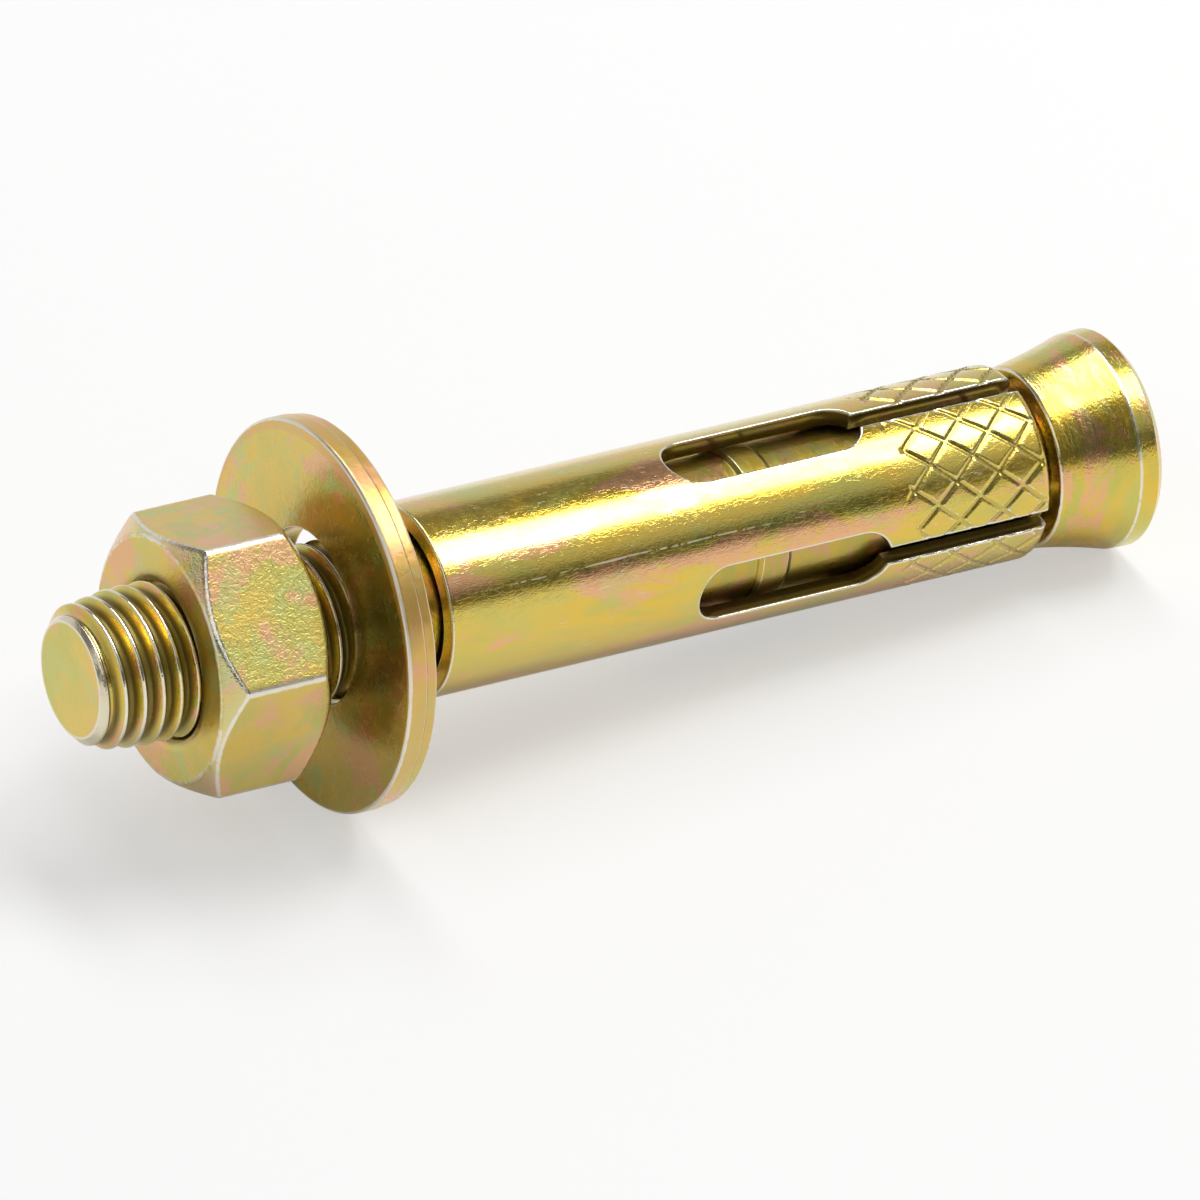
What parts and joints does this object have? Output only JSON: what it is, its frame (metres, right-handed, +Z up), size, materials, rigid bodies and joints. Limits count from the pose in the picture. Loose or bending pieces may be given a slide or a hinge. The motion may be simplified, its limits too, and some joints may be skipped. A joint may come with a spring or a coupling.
{
  "type": "sleeve anchor",
  "caption": "Sleeve anchor for masonry: a flared threaded stud in a slit expansion sleeve, with a flat washer and a hexagon nut.",
  "frame": {"origin": "middle of the bounding box's footprint, on the surface that the anchor lies on", "axes": "+X along the anchor from the thread's tip towards the flared end, +Z up; the stud slopes down 5 degrees towards the flared end, because it lies on its washer and its flare"},
  "size_m": [0.0602, 0.02, 0.02],
  "materials": {
    "stud_zinc": "turned and rolled steel, yellow passivated zinc, satin",
    "sleeve_zinc": "rolled steel sheet, yellow passivated zinc, bright satin",
    "washer_zinc": "punched steel, yellow passivated zinc, satin",
    "nut_zinc": "cold-formed steel, yellow passivated zinc, satin"
  },
  "bodies": {
    "sleeve": {"expansion_sleeve": "sleeve_zinc"},
    "nut": {"hex_nut": "nut_zinc"},
    "stud": {"stud_bolt": "stud_zinc"},
    "washer": {"flat_washer": "washer_zinc"}
  },
  "joints": [
    {"name": "nut_turn", "type": "hinge", "parent": "sleeve", "child": "nut", "pos_m": [-0.0249, 0, 0.01042], "axis": [0.996, 0, -0.0889], "range_deg": [-1800, 180]},
    {"name": "stud_draw", "type": "slide", "parent": "sleeve", "child": "stud", "axis": [-0.996, 0, 0.0889], "range_m": [-0.005, 0.0005]},
    {"name": "washer_slide", "type": "slide", "parent": "sleeve", "child": "washer", "axis": [0.996, 0, -0.0889], "range_m": [-0.0019, 0.00345]}
  ],
  "couplings": [
    {"joint": "nut_turn", "follows": "stud_draw", "rad_per_m": 6283.2}
  ]
}
